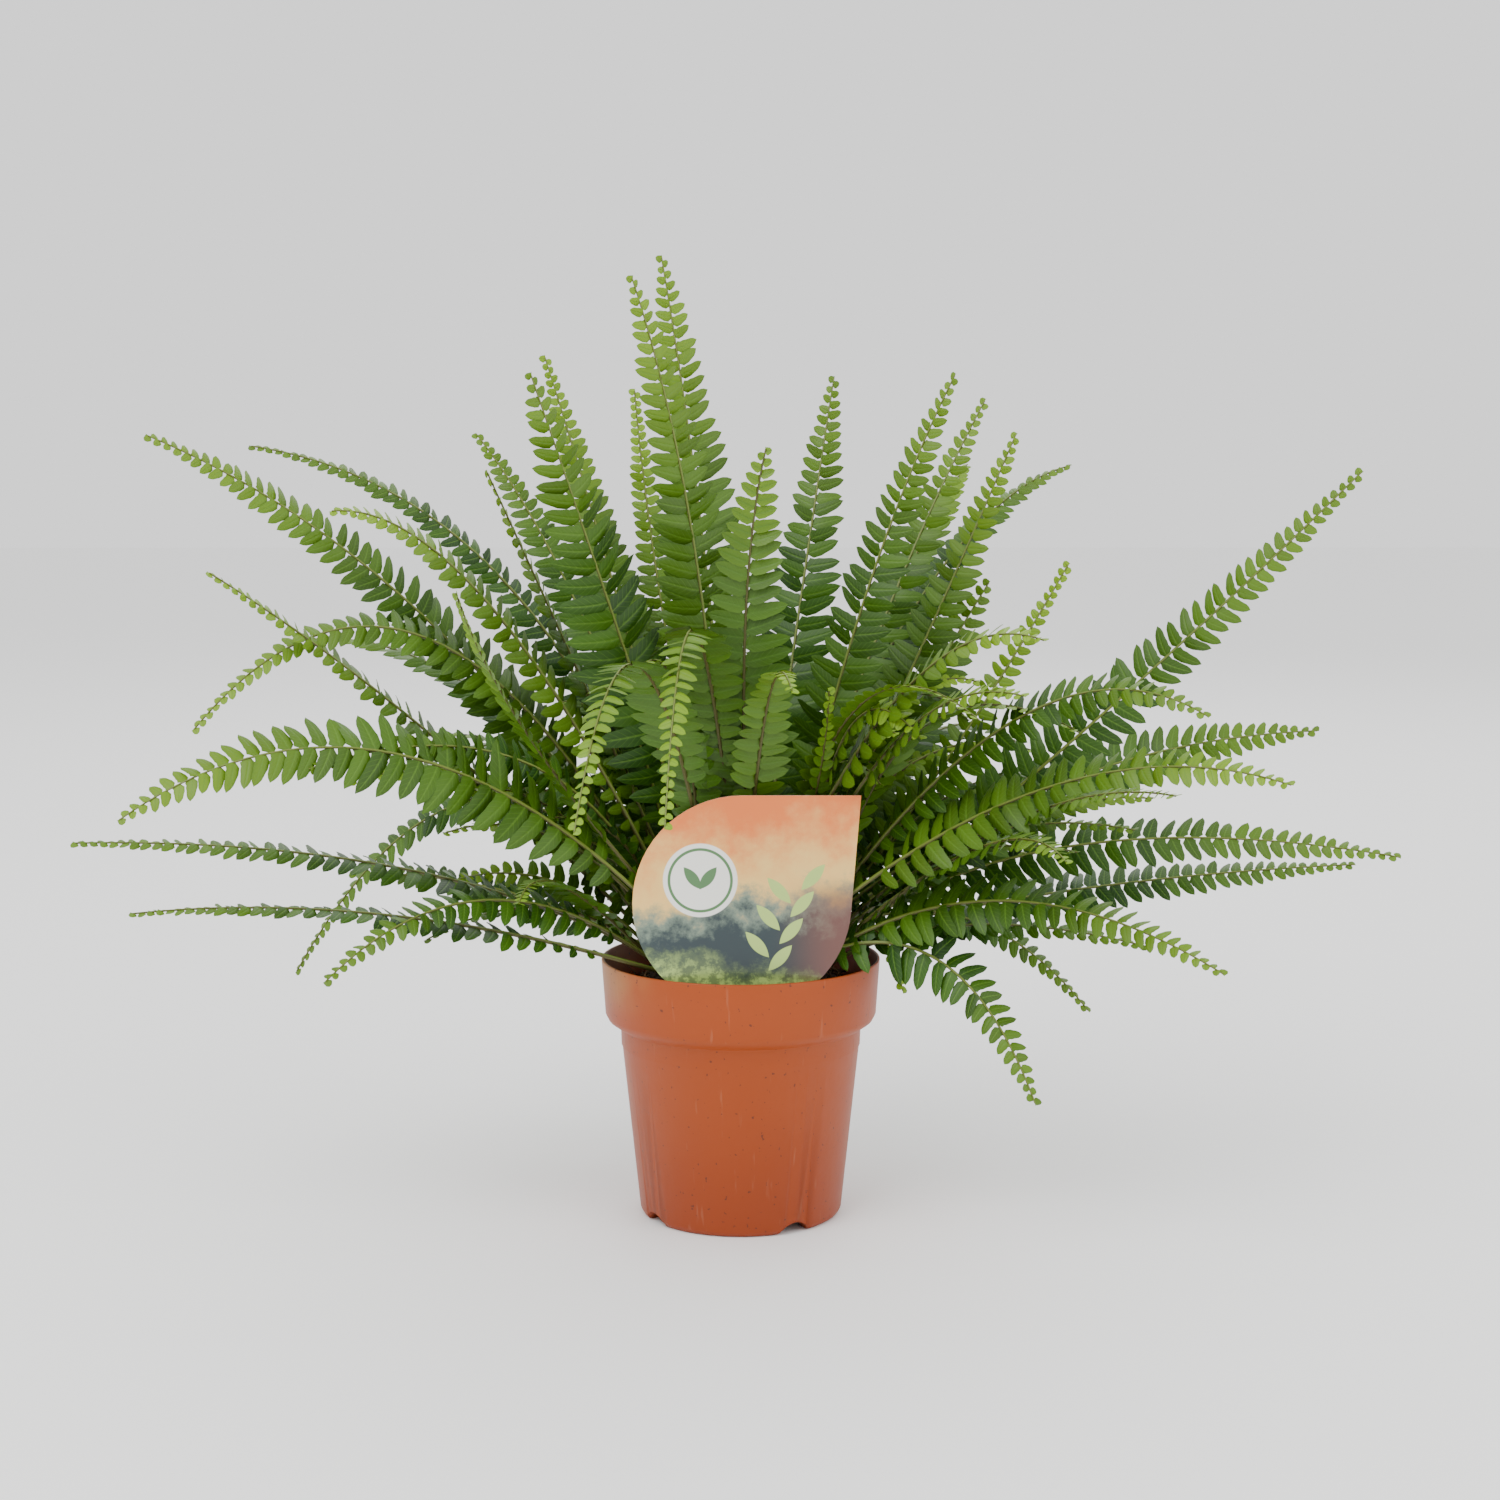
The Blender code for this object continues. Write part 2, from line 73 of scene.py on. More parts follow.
# One row a frond, as in the CAD model: tip and shoulder in cm, half the blade's width in cm, how far
# the upper side is turned to the front in degrees, the ring of the rootstock, and how young it is (0 to 1).
FRONDS = (
    # left
    ((-24.5, -2.0, 33.5), (-11.5, -1.0, 28.0), 1.9, 50, 1, 0.3),
    ((-21.5, 5.0, 33.0), (-7.5, 3.0, 31.0), 1.5, 25, 1, 0.05),
    ((-16.5, -5.0, 30.5), (-10.5, -3.0, 31.0), 1.6, 35, 1, 0.7),
    ((-21.5, -5.0, 28.0), (-13.0, -3.0, 22.3), 1.5, 30, 0, 0.55),
    ((-22.5, -4.0, 21.5), (-12.5, -2.5, 33.5), 1.6, 40, 1, 0.45),
    ((-24.5, -9.0, 18.5), (-13.0, -7.0, 26.5), 2.5, 50, 0, 0.35),
    ((-28.3, -1.0, 16.3), (-12.0, -3.5, 17.0), 1.7, 15, 0, 0.12),
    ((-25.0, -5.0, 14.0), (-14.0, -7.0, 15.5), 1.4, 10, 0, 0.12),
    ((-20.0, 5.0, 9.5), (-11.0, 3.0, 25.0), 1.6, 40, 0, 0.05),
    ((-16.5, -9.0, 12.0), (-10.5, -4.8, 17.8), 1.5, 35, 0, 0.12),
    ((-13.0, -4.5, 12.8), (-7.5, -3.0, 15.8), 1.1, 0, 0, 0.12),
    ((-12.0, -6.0, 17.5), (-7.0, -3.5, 19.0), 1.2, 15, 0, 0.6),
    ((-11.0, -10.0, 27.5), (-9.5, -5.5, 21.0), 1.4, 10, 1, 0.7),
    # top
    ((-12.0, 9.0, 33.5), (-6.5, 5.0, 27.0), 1.6, 30, 2, 0.12),
    ((-10.5, -2.0, 32.0), (-7.0, -1.0, 24.0), 1.6, 20, 2, 0.5),
    ((-8.5, -4.0, 36.0), (-5.5, -3.5, 27.0), 2.8, 80, 3, 0.15),
    ((-9.0, 11.0, 37.0), (-5.5, 7.5, 26.5), 1.7, 20, 2, 0.5),
    ((-4.5, -1.0, 40.0), (-1.0, -1.5, 29.5), 2.2, 70, 3, 0.45),
    ((-3.5, 7.0, 41.3), (-1.0, 4.0, 27.0), 2.6, 20, 3, 0.35),
    ((-5.0, 14.0, 35.5), (-4.0, 10.0, 25.0), 1.4, 10, 2, 0.6),
    ((1.0, -7.0, 33.0), (-0.5, -6.0, 26.5), 2.3, 0, 3, 0.45),
    ((4.2, 8.0, 36.0), (2.5, 5.5, 25.5), 2.2, 10, 3, 0.12),
    ((9.0, 0.0, 36.0), (4.5, 0.0, 27.0), 2.0, 50, 2, 0.25),
    ((11.0, 8.0, 35.0), (6.0, 5.5, 26.0), 1.8, 30, 2, 0.3),
    ((12.0, 4.0, 33.5), (8.0, 3.5, 24.0), 1.9, 40, 2, 0.4),
    ((15.5, 13.0, 32.0), (8.5, 10.5, 30.5), 1.7, 10, 2, 0.12),
    ((11.0, 17.0, 32.0), (7.5, 10.0, 28.5), 2.0, 0, 1, 0.4),
    # right
    ((11.0, 5.0, 27.0), (7.0, 5.0, 20.5), 2.6, 80, 1, 0.12),
    ((14.0, 1.0, 28.0), (8.5, 1.5, 18.0), 1.3, 70, 1, 0.6),
    ((12.0, -8.0, 25.5), (6.5, -5.5, 27.5), 1.8, 30, 1, 0.8),
    ((11.0, -10.0, 23.5), (6.0, -4.5, 24.5), 1.7, 30, 1, 0.75),
    ((25.5, -3.0, 32.0), (13.0, -1.0, 19.0), 2.0, 75, 1, 0.15),
    ((18.5, -8.0, 22.5), (11.5, -5.0, 26.8), 1.7, 45, 1, 0.2),
    ((25.5, 4.0, 20.5), (12.0, 4.0, 20.0), 2.2, 60, 0, 0.12),
    ((21.5, -10.0, 20.0), (12.2, -5.9, 22.8), 1.9, 45, 0, 0.55),
    ((16.5, -13.0, 20.0), (11.5, -4.2, 20.0), 1.3, 20, 0, 0.4),
    ((28.3, 0.0, 15.5), (11.0, 0.0, 18.5), 2.0, 45, 0, 0.12),
    ((28.0, 7.0, 14.0), (13.0, 6.0, 13.5), 1.8, 35, 0, 0.0),
    ((19.0, -10.0, 12.5), (10.0, -4.6, 17.6), 1.9, 40, 0, 0.3),
    ((17.0, -4.2, 12.4), (8.0, -3.0, 14.6), 1.4, 20, 0, 0.12),
    ((15.5, 3.5, 8.0), (9.5, 3.5, 15.5), 1.4, 40, 0, 0.12),
    ((12.0, -7.0, 6.5), (8.5, -4.0, 16.0), 1.8, 60, 0, 0.05),
    ((6.9, -1.6, 10.0), (6.0, -1.2, 14.8), 0.9, 30, 0, 0.8),
    # front
    ((-6.0, -18.0, 19.4), (-4.0, -9.0, 33.5), 1.6, 0, 2, 0.5),
    ((-2.8, -15.5, 19.2), (-2.0, -7.0, 36.0), 1.5, 0, 3, 0.6),
    ((3.6, -5.0, 23.2), (3.5, -3.5, 18.0), 1.0, 0, 2, 0.6),
    ((-8.7, -10.0, 15.3), (-8.5, -3.5, 17.0), 1.1, 0, 0, 0.5),
    ((2.0, -10.0, 23.7), (1.0, -5.0, 27.0), 1.3, 0, 2, 0.8),
    ((12.5, -12.0, 17.3), (10.9, -5.0, 19.4), 1.5, 20, 0, 0.4),
    # back
    ((-7.5, 18.5, 24.0), (-6.0, 11.0, 31.0), 2.0, 0, 1, 0.12),
    ((4.0, 18.0, 20.0), (2.5, 10.5, 29.0), 2.1, 0, 1, 0.12),
    ((14.0, 16.0, 18.0), (8.5, 9.5, 24.0), 2.0, 0, 0, 0.12),
    ((-16.0, 15.0, 17.0), (-9.0, 9.0, 23.0), 2.0, 0, 0, 0.12),
    ((-4.0, 18.0, 12.0), (-2.5, 11.0, 19.0), 1.9, 0, 0, 0.12),
    ((9.0, 18.0, 10.5), (5.0, 11.0, 18.0), 1.9, 0, 0, 0.12),
    ((-20.0, 11.0, 24.0), (-11.0, 7.0, 25.0), 1.9, 0, 1, 0.12),
)

RING_SIDES = 6                 # points round the section of a leaflet, and of a stalk
STALK_STATIONS = 48
STALK_RADIUS_FOOT = 0.0011
STALK_RADIUS_TIP = 0.00035
LEAFLET_STATIONS = 9
LEAFLET_THICKNESS = 0.00022
LEAFLET_LEAST_LENGTH = 0.0030
LEAFLET_MOST_WIDTH = 0.0094
MIDRIB_GROOVE = 0.00012

# A leaflet's section: from its rear edge over the upper side to its front edge, then the lower side's middle
SECTION_ACROSS = np.array([-1.0, -0.5, 0.0, 0.5, 1.0, 0.0])
SECTION_UNDER = np.array([0.5, 0.0, 0.0, 0.0, 0.5, 1.0])
SECTION_GROOVE = np.array([0.0, 0.0, 1.0, 0.0, 0.0, 0.0])

# How near the label's card a leaflet may come: to its faces, past its sides and over its top
CARD_FACE_GAP = 0.0004
CARD_SIDE_MARGIN = 0.008
CARD_TOP_MARGIN = 0.006

INNER_BATCHES = 4
GOLDEN_ANGLE = 137.5           # degrees from one inner frond to the next


class Value:
    """A number socket that Python arithmetic works on: each operation adds its Math node."""

    def __init__(self, material, socket):
        self.material = material
        self.socket = socket

    def _math(self, operation, *others, clamp=False):
        inputs = {0: self}
        for n, other in enumerate(others, start=1):
            inputs[n] = other
        node = self.material.node("ShaderNodeMath", {"operation": operation, "use_clamp": clamp}, inputs)
        return Value(self.material, node.outputs[0])

    def _reflected(self, operation, other):
        node = self.material.node("ShaderNodeMath", {"operation": operation}, {0: other, 1: self})
        return Value(self.material, node.outputs[0])

    def __add__(self, other):
        return self._math("ADD", other)

    def __radd__(self, other):
        return self._math("ADD", other)

    def __sub__(self, other):
        return self._math("SUBTRACT", other)

    def __rsub__(self, other):
        return self._reflected("SUBTRACT", other)

    def __mul__(self, other):
        return self._math("MULTIPLY", other)

    def __rmul__(self, other):
        return self._math("MULTIPLY", other)

    def __truediv__(self, other):
        return self._math("DIVIDE", other)

    def __pow__(self, other):
        return self._math("POWER", other)

    def __neg__(self):
        return self._math("MULTIPLY", -1.0)

    def sine(self):
        """Sine of the value in radians."""
        return self._math("SINE")

    def size(self):
        """The value without its sign."""
        return self._math("ABSOLUTE")

    def clamped(self):
        """The value kept between 0 and 1."""
        return self._math("ADD", 0.0, clamp=True)

    def step(self, low, high):
        """0 below low, 1 above high and a smooth rise between them; low may be the larger."""
        settings = {"interpolation_type": "SMOOTHSTEP"}
        flip = low > high
        ends = {"From Min": min(low, high), "From Max": max(low, high)}
        node = self.material.node("ShaderNodeMapRange", settings, {"Value": self, **ends})
        rise = Value(self.material, node.outputs["Result"])
        return 1 - rise if flip else rise


class Finish:
    """A material under construction, with its Principled shader."""

    def __init__(self, name, roughness, **constants):
        self.data = bpy.data.materials.new(name)
        self.data.use_nodes = True
        self.tree = self.data.node_tree
        self.shader = self.tree.nodes["Principled BSDF"]
        self.shader.inputs["Roughness"].default_value = roughness
        for socket, number in constants.items():
            self.shader.inputs[socket.replace("_", " ")].default_value = number

    def node(self, kind, settings=None, inputs=None):
        """Add a node: its settings first, then the values or links of its sockets."""
        node = self.tree.nodes.new(kind)
        for key, setting in (settings or {}).items():
            setattr(node, key, setting)
        for key, given in (inputs or {}).items():
            if isinstance(given, Value):
                given = given.socket
            if isinstance(given, bpy.types.NodeSocket):
                self.tree.links.new(given, node.inputs[key])
            else:
                node.inputs[key].default_value = given
        return node

    def link(self, source, socket):
        """Feed one of the shader's own sockets."""
        source = source.socket if isinstance(source, Value) else source
        self.tree.links.new(source, self.shader.inputs[socket])

    def position(self):
        """The object's own coordinates."""
        return self.node("ShaderNodeTexCoord").outputs["Object"]

    def axes(self):
        """X, Y and Z of the object's own coordinates."""
        split = self.node("ShaderNodeSeparateXYZ", None, {0: self.position()})
        return [Value(self, output) for output in split.outputs]

    def attribute(self, name):
        """A number stored on the mesh."""
        return Value(self, self.node("ShaderNodeAttribute", {"attribute_name": name}).outputs["Fac"])

    def noise(self, scale, detail=4.0, roughness=0.55):
        """Even noise between 0 and 1 in the object's coordinates."""
        inputs = {"Vector": self.position(), "Scale": scale, "Detail": detail, "Roughness": roughness}
        return Value(self, self.node("ShaderNodeTexNoise", None, inputs).outputs["Fac"])

    def mix(self, factor, low, high):
        """A colour between two colours."""
        inputs = {0: factor, 6: colour(low), 7: colour(high)}
        return self.node("ShaderNodeMix", {"data_type": "RGBA"}, inputs).outputs[2]

    def bump(self, height, strength, distance):
        """Feed a height into the shader's normal."""
        inputs = {"Height": height, "Strength": strength, "Distance": distance}
        self.link(self.node("ShaderNodeBump", None, inputs).outputs["Normal"], "Normal")


def colour(given):
    """A colour with its alpha, or the socket that was given."""
    return given if isinstance(given, bpy.types.NodeSocket) else (*given[:3], 1.0)


def mesh_piece(name, points, faces, numbers=None, finish=None, smooth=True):
    """A mesh object at the origin from whole arrays of points and quads, with numbers for each point."""
    mesh = bpy.data.meshes.new(name)
    mesh.from_pydata(points, [], faces)
    for key, values in (numbers or {}).items():
        mesh.attributes.new(key, "FLOAT", "POINT").data.foreach_set("value", values.astype(np.float32))
    mesh.polygons.foreach_set("use_smooth", np.full(len(mesh.polygons), smooth))
    mesh.materials.append(finish)
    mesh.update()
    if smooth:
        mesh.set_sharp_from_angle(angle=math.radians(50))
    piece = bpy.data.objects.new(name, mesh)
    bpy.context.scene.collection.objects.link(piece)
    return piece


def settle(piece, slot, *nodes):
    """Tie a finished piece to the frame's root body and hide the CAD nodes that it stands for. Its slot is
    not used.
    """
    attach(piece, "root")
    if nodes:
        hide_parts(*nodes)


def ring_faces(stations, sides):
    """Quads between rings of points, ring after ring. The first and the last ring are left open."""
    i, j = np.meshgrid(np.arange(stations - 1), np.arange(sides), indexing="ij")
    a = i * sides + j
    b = i * sides + (j + 1) % sides
    return np.stack([a, b, b + sides, a + sides], axis=-1).reshape(-1, 4)


def bezier(foot, shoulder, tip, t):
    """Points and unit directions of (1-t)^2 foot + 2t(1-t) shoulder + t^2 tip."""
    t = np.asarray(t)[:, None]
    points = (1 - t) ** 2 * foot + 2 * t * (1 - t) * shoulder + t ** 2 * tip
    along = 2 * (1 - t) * (shoulder - foot) + 2 * t * (tip - shoulder)
    return points, along / np.linalg.norm(along, axis=1)[:, None]


def blade_sides(foot, tip, along, face):
    """Unit vectors across the blade: level and square to the heading, then rolled to face the front."""
    heading = np.array([tip[0] - foot[0], tip[1] - foot[1], 0.0])
    heading /= np.linalg.norm(heading)
    level = np.array([heading[1], -heading[0], 0.0])
    across = level - (along @ level)[:, None] * along
    across /= np.linalg.norm(across, axis=1)[:, None]
    upward = np.cross(across, along)
    roll = math.radians(face) * (1.0 if heading[0] < 0 else -1.0)
    return across * math.cos(roll) + upward * math.sin(roll)


def blade_width(t):
    """Leaflet length along a frond as a part of its greatest: quick to rise, even, then tapering."""
    rise = np.minimum(1.0, 0.45 + 3.2 * (t - BARE_STALK))
    return rise * (1.0 - np.maximum(0.0, t - 0.35) / 0.65) ** 0.62


def frond_feet():
    """Where each frond leaves the rootstock: even places round its ring, in the order of headings."""
    headings = [math.atan2(row[1][1], row[1][0]) for row in FRONDS]
    feet = [None] * len(FRONDS)
    for ring, radius in enumerate(RING_RADII):
        members = sorted((k for k, row in enumerate(FRONDS) if row[4] == ring), key=lambda k: headings[k])
        places = [2 * math.pi * n / len(members) - math.pi for n in range(len(members))]
        drift = sum(headings[k] - place for k, place in zip(members, places)) / len(members)
        height = SOIL_TOP + CROWN_HEIGHT * math.sqrt(1 - (radius / CROWN_RADIUS) ** 2)
        for k, place in zip(members, places):
            angle = place + drift
            feet[k] = np.array([radius * math.cos(angle), radius * math.sin(angle), height])
    return feet


def leaflet_outline(u):
    """Half a leaflet's width, as a part of its greatest, at u from base to tip.

    The body is (1 - u^2.9)^0.60, narrowed at the very base. Its edge is slightly waved. The front edge has an
    ear near the base, a bell curve round u = 0.10. The rear edge is a little nearer the midrib.
    """
    body = np.clip(1 - u ** 2.9, 0, 1) ** 0.60 * np.minimum(1, (0.10 + u * 9)) ** 0.6
    ear = 1 + 0.42 * np.exp(-((u - 0.10) / 0.08) ** 2)
    wave = 1 + 0.05 * np.sin(u * 34)
    return body, body * ear * wave, body * wave * 0.92


def meets_card(place):
    """Which leaflets would reach through the label's card: those that span its plane within its box."""
    low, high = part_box("plant_label")
    middle = place.mean(axis=(1, 2))
    foremost = place[..., 1].min(axis=(1, 2))
    rearmost = place[..., 1].max(axis=(1, 2))
    meets = (foremost < high[1] + CARD_FACE_GAP) & (rearmost > low[1] - CARD_FACE_GAP)
    meets &= (middle[:, 0] > low[0] - CARD_SIDE_MARGIN) & (middle[:, 0] < high[0] + CARD_SIDE_MARGIN)
    return meets & (middle[:, 2] < high[2] + CARD_TOP_MARGIN)


def leaflets(rng, points, along, across, t, side, reach, width, youth):
    """Leaflets on one side of a stalk, as arrays. Each is a tube of flat rings, open at both ends.

    A point at u along and v across is base + D u L + W v h(u) + T sickle L u^2 - N sink. D leans from across
    the stalk to its tip, W is square to it and twisted, T is the stalk's direction and N the upper side's.
    h(u) is half the width, and sink = droop L u^2 + 0.10 h |v| + the thickness below + the midrib's groove.
    """
    n = len(t)
    normal = np.cross(across, along)
    lean = np.radians(4 + 18 * t + rng.uniform(-6, 6, n))[:, None]
    out = side * across * np.cos(lean) + along * np.sin(lean)
    wide = along * np.cos(lean) - side * across * np.sin(lean)
    twist = np.radians(rng.uniform(-20, 20, n) + 16)[:, None]
    wide_turned = wide * np.cos(twist) + normal * np.sin(twist)
    up = normal * np.cos(twist) - wide * np.sin(twist)
    length = reach * rng.uniform(0.90, 1.05, n)
    u = np.linspace(0.0, 1.0, LEAFLET_STATIONS) ** 0.9
    body, tipward, rearward = leaflet_outline(u)
    v = SECTION_ACROSS[None, :]
    half = np.where(v > 0, tipward[:, None], rearward[:, None]) * v
    under = SECTION_UNDER[None, :]
    droop = rng.uniform(0.03, 0.26, n) * (1.2 - 0.5 * youth)
    sickle = rng.uniform(0.05, 0.16, n)
    reached = u[None, :, None] * length[:, None, None]
    swept = (sickle[:, None] * length[:, None] * u[None] ** 2)[:, :, None]
    spread = half[None] * width[:, None, None] / 2
    sink = (droop[:, None] * length[:, None] * u[None] ** 2)[:, :, None]
    sink = sink + 0.10 * np.abs(half)[None] * width[:, None, None] / 2 + under[None] * LEAFLET_THICKNESS
    groove = (MIDRIB_GROOVE * SECTION_GROOVE)[None, None, :]
    place = points[:, None, None, :] + out[:, None, None, :] * reached[..., None]
    place = place + wide_turned[:, None, None, :] * spread[..., None]
    place = place + along[:, None, None, :] * swept[..., None]
    place = place - up[:, None, None, :] * (sink + groove * body[None, :, None])[..., None]
    kept = ~meets_card(place)
    place, t = place[kept], t[kept]
    n = len(t)
    shape = (n, LEAFLET_STATIONS, RING_SIDES)
    numbers = {
        "along": np.broadcast_to(u[None, :, None], shape),
        "across": np.broadcast_to(v[None], shape),
        "under": np.broadcast_to(under[None], shape),
        "age": np.broadcast_to(t[:, None, None], shape),
        "tone": np.broadcast_to(rng.uniform(0, 1, n)[:, None, None], shape),
        "stalk": np.zeros(shape),
    }
    faces = ring_faces(LEAFLET_STATIONS, RING_SIDES)
    faces = faces if side < 0 else faces[:, ::-1]
    start = (np.arange(n) * LEAFLET_STATIONS * RING_SIDES)[:, None, None]
    return place.reshape(-1, 3), (faces[None] + start).reshape(-1, 4), numbers


def stalk(points, along, across, t):
    """A tapering stalk along a frond, as arrays: point + r(t) (across cos a + normal sin a), ends open.

    Its across number is sin a, which tells its upper side from its lower side; the finish paints light on the
    upper side and shade on the lower side.
    """
    normal = np.cross(across, along)
    turn = np.linspace(0, 2 * np.pi, RING_SIDES, endpoint=False)[None, :, None]
    radius = (STALK_RADIUS_FOOT + (STALK_RADIUS_TIP - STALK_RADIUS_FOOT) * t ** 0.8)[:, None, None]
    radius[0] *= 1.5
    outward = across[:, None, :] * np.cos(turn) + normal[:, None, :] * np.sin(turn)
    place = points[:, None, :] + radius * outward
    shape = (len(t), RING_SIDES)
    lit = np.broadcast_to(np.sin(turn[None, 0, :, 0]), shape)
    numbers = {
        "along": np.zeros(shape), "across": lit, "under": np.zeros(shape),
        "age": np.broadcast_to(t[:, None], shape), "tone": np.full(shape, 0.5), "stalk": np.ones(shape),
    }
    return place.reshape(-1, 3), ring_faces(len(t), RING_SIDES)[:, ::-1], numbers


def join(parts):
    """Several (points, faces, numbers) arrays as one."""
    points, faces, numbers, start = [], [], {}, 0
    for place, quads, values in parts:
        points.append(place)
        faces.append(quads + start)
        for key, array in values.items():
            numbers.setdefault(key, []).append(np.asarray(array, float).ravel())
        start += len(place)
    return np.concatenate(points), np.concatenate(faces), {k: np.concatenate(v) for k, v in numbers.items()}


def frond_arrays(seed, foot, shoulder, tip, half_width, face, youth):
    """A whole frond: its stalk and two rows of alternate leaflets, smaller and younger to the tip."""
    rng = np.random.default_rng(seed)
    t = np.linspace(0, 1, STALK_STATIONS)
    points, along = bezier(foot, shoulder, tip, t)
    across = blade_sides(foot, tip, along, face)
    run = np.concatenate([[0], np.cumsum(np.linalg.norm(np.diff(points, axis=0), axis=1))])
    parts = [stalk(points, along, across, t)]
    spacing = 0.0038 + 0.13 * half_width
    count = max(10, int(run[-1] * (1 - BARE_STALK) / spacing))
    for side in (-1, 1):
        share = (np.arange(count) + (0.25 if side > 0 else 0.75)) / count
        share = share * (1.32 - 0.32 * share)
        where = (BARE_STALK + (1 - BARE_STALK) * share) * run[-1]
        at = np.interp(where, run, t)
        place, direction = bezier(foot, shoulder, tip, at)
        sides = blade_sides(foot, tip, direction, face)
        reach = np.maximum(half_width * blade_width(at), LEAFLET_LEAST_LENGTH)
        width = np.minimum(0.0028 + reach * 0.25, LEAFLET_MOST_WIDTH)
        parts.append(leaflets(rng, place, direction, sides, at, side, reach, width, youth))
    points, faces, numbers = join(parts)
    numbers["youth"] = np.full(len(points), youth)
    return points, faces, numbers


def leaf_finish(look):
    """Green leaf: darker when old, yellow-green to the tip, a pale midrib and side veins, see-through."""
    leaf = Finish("fern_leaf", 0.42, Specular_IOR_Level=0.42)
    along, across = leaf.attribute("along"), leaf.attribute("across")
    age, tone, youth = leaf.attribute("age"), leaf.attribute("tone"), leaf.attribute("youth")
    patch = leaf.noise(30.0)
    mature = leaf.mix(tone * 0.6 + patch * 0.4, look.leaf_dark, look.leaf_green)
    fresh = age.step(0.55, 1.0) * (0.35 + youth * 0.65) + youth * 0.45 + (tone - 0.5) * 0.12
    aged = leaf.mix(fresh.clamped(), mature, look.leaf_tip)
    veins = (along * 46 + across.size() * -9).sine().step(0.75, 1.0) * 0.22
    rib = across.size().step(0.16, 0.02) * 0.5
    lined = leaf.mix((veins + rib).clamped(), aged, look.leaf_rib)
    lower = leaf.mix(leaf.attribute("under") * 0.45, lined, look.leaf_under)
    # The stalk's upper side is painted lighter as painted light, and its lower side darker as painted shade
    stem = leaf.mix(across.step(0.2, 1.0), look.stalk_shaded_brown, look.stalk_lit_green)
    whole = leaf.mix(leaf.attribute("stalk"), lower, stem)
    leaf.link(whole, "Base Color")
    leaf.bump(veins * -1.0 + across.size().step(0.3, 0.0) * -0.6 + patch * 0.2, 0.5, 0.0003)
    leaf.link(0.36 + patch * 0.16, "Roughness")
    glow = leaf.node("ShaderNodeBsdfTranslucent", None, {"Color": whole})
    shaders = {0: 0.22, 1: leaf.shader.outputs[0], 2: glow.outputs[0]}
    both = leaf.node("ShaderNodeMixShader", None, shaders)
    output = leaf.tree.nodes["Material Output"]
    leaf.tree.links.new(both.outputs[0], output.inputs["Surface"])
    return leaf.data


def pot_finish(look):
    """Satin terracotta-coloured plastic: faint clouding, dark specks, pale scuffs, painted shade towards the
    base, and a dusty rim with a painted sheen on its left.
    """
    pot = Finish("pot_plastic", 0.42, Specular_IOR_Level=0.3)
    x, _, z = pot.axes()
    cloud = pot.noise(14.0)
    speck = pot.noise(520.0, 1.0).step(0.70, 0.76)
    stretch = {"Vector": pot.position(), "Scale": (300.0, 300.0, 30.0)}
    upright = pot.node("ShaderNodeMapping", None, stretch).outputs[0]
    scuff_noise = pot.node("ShaderNodeTexNoise", None, {"Vector": upright, "Scale": 1.0, "Detail": 3.0})
    scuff = Value(pot, scuff_noise.outputs["Fac"]).step(0.64, 0.74)
    # Painted shade: the plastic is painted darker towards the base
    low = z.step(0.075, 0.0)
    base = pot.mix(low * 0.55 + (cloud - 0.5) * 0.5, look.pot_colour, look.pot_shaded_low)
    # Dust on the left of the rim, with a painted sheen where the light falls from the left
    left_rim_dust_and_sheen = z.step(0.088, 0.108) * x.step(-0.02, -0.055)
    rim_dusted_and_sheened = pot.mix(left_rim_dust_and_sheen * cloud.step(0.35, 0.65) * 0.6, base, look.rim_dust_and_sheen)
    scuffed = pot.mix(scuff * 0.10, rim_dusted_and_sheened, (0.62, 0.34, 0.22))
    pot.link(pot.mix(speck * 0.75, scuffed, (0.06, 0.02, 0.012)), "Base Color")
    pot.link(0.36 + cloud * 0.16 + scuff * 0.12, "Roughness")
    pot.bump(pot.noise(380.0, 2.0) * 0.5 + scuff * 0.2 + cloud * 0.4, 0.25, 0.0004)
    return pot.data


def peat_finish(look, name="peat"):
    """Dark peat: brown and black grains, rough all over."""
    peat = Finish(name, 0.9, Specular_IOR_Level=0.2)
    grain = peat.noise(240.0, 6.0, 0.7)
    clump = peat.noise(60.0)
    dark = peat.mix(grain.step(0.35, 0.7), look.peat_dark, look.peat_brown)
    peat.link(peat.mix(clump.step(0.62, 0.78) * 0.5, dark, look.fibre), "Base Color")
    peat.bump(grain + clump, 1.0, 0.0016)
    return peat.data


def fibre_finish(look):
    """Dry root threads, brown to straw."""
    fibre = Finish("peat_fibre", 0.8, Specular_IOR_Level=0.2)
    fibre.link(fibre.mix(fibre.noise(90.0).step(0.35, 0.7), look.peat_brown, look.fibre), "Base Color")
    return fibre.data


def printed_leaf(right, height, middle, degrees, half_length, half_width):
    """1 inside a pointed leaf, where |across| / half_width + (along / half_length)^2 is under 1."""
    turn = math.radians(degrees)
    x = right - middle[0]
    z = height - middle[1]
    along = x * math.cos(turn) + z * math.sin(turn)
    across = z * math.cos(turn) - x * math.sin(turn)
    return (across.size() / half_width + (along / half_length) ** 2).step(1.06, 0.94)


def label_bands(card, look, right, height):
    """The print's ground: peach over cream, sage and teal, brown to the right and green blades below."""
    cloud = card.noise(75.0, 6.0, 0.65)
    drift = height + right * -0.10 + (cloud - 0.5) * 1.1
    sky = card.mix(drift.step(0.15, 0.95), look.cream, look.peach)
    haze = card.mix(drift.step(0.20, -0.10), sky, look.sage)
    deep = card.mix(drift.step(-0.02, -0.28), haze, look.teal)
    dusk = card.mix(right.step(0.25, 0.9) * height.step(0.30, 0.0) * 0.8, deep, look.dusk)
    blades = card.noise(260.0, 3.0, 0.7).step(0.42, 0.60)
    lower = (height + right * 0.15 + cloud * 0.5).step(-0.22, -0.52)
    return card.mix(lower * (0.35 + blades * 0.65), dusk, look.pale_green)


